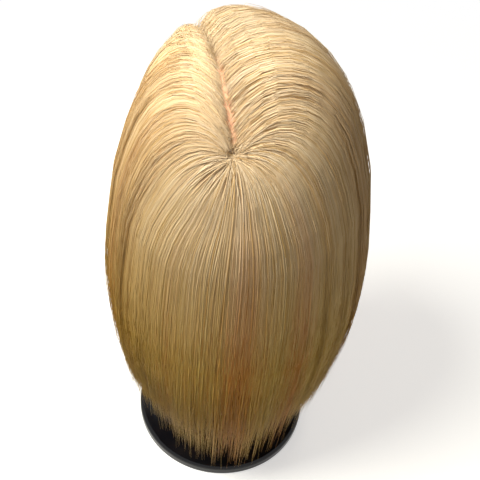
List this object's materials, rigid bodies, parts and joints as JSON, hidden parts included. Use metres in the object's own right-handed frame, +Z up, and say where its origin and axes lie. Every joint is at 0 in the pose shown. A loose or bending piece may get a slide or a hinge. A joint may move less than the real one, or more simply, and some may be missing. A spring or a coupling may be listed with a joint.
{
  "type": "mannequin training head",
  "caption": "Hairdressing training head with long parted hair, pushed onto the tapered mandrel of a round weighted table stand that swivels and locks.",
  "frame": {"origin": "centre of the stand's underside, on the surface it stands on", "axes": "+Z up along the swivel axis, the face looks towards -Y, the head's left is +X"},
  "size_m": [0.2016, 0.2156, 0.3697],
  "materials": {
    "rubber_pad": "matte",
    "zinc_steel": "satin",
    "bright_steel": "satin",
    "cast_ballast": "matte",
    "gloss_black_abs": "gloss",
    "satin_black_abs": "satin",
    "chromed_tube": "polished",
    "acetal": "satin",
    "brass_insert": "satin",
    "rigid_foam": "matte",
    "vinyl_skin": "satin",
    "acrylic_eye": "gloss",
    "lash_fibre": "matte",
    "blonde_hair": "satin"
  },
  "bodies": {
    "stand": {"foot_pad": "rubber_pad", "base_plate": "zinc_steel", "base_weight": "cast_ballast", "base_shell": "gloss_black_abs", "column_plug": "zinc_steel", "centre_screw": "zinc_steel", "column_tube": "chromed_tube", "column_collar": "satin_black_abs", "lower_bush": "acetal", "upper_bush": "acetal", "thrust_washer": "acetal", "lock_nut": "brass_insert"},
    "lock_screw": {"lock_screw": "zinc_steel"},
    "lock_knob": {"lock_knob": "satin_black_abs"},
    "swivel": {"spindle": "bright_steel", "retaining_ring": "zinc_steel", "mandrel": "satin_black_abs", "mandrel_screw": "zinc_steel"},
    "head": {"neck_socket": "satin_black_abs", "neck_plate": "satin_black_abs", "neck_screws": "zinc_steel", "foam_core": "rigid_foam", "head_shell": "vinyl_skin", "left_eye": "acrylic_eye", "right_eye": "acrylic_eye", "left_lashes": "lash_fibre", "right_lashes": "lash_fibre", "hair_left": "blonde_hair", "hair_right": "blonde_hair", "hair_back": "blonde_hair"}
  },
  "joints": [
    {"name": "head_swivel", "type": "hinge", "parent": "stand", "child": "swivel", "pos_m": [0, 0, 0.062], "axis": [0, 0, 1], "continuous": true},
    {"name": "head_lift", "type": "slide", "parent": "swivel", "child": "head", "axis": [0, 0, 1], "range_m": [0, 0.11]},
    {"name": "lock_screw_travel", "type": "slide", "parent": "stand", "child": "lock_screw", "axis": [0, -1, 0], "range_m": [0, 0.0025]},
    {"name": "lock_knob_turn", "type": "hinge", "parent": "lock_screw", "child": "lock_knob", "pos_m": [0, -0.0305, 0.051], "axis": [0, -1, 0], "range_deg": [0, 720]}
  ],
  "couplings": [
    {"joint": "lock_screw_travel", "follows": "lock_knob_turn", "m_per_rad": 0.00019894}
  ]
}
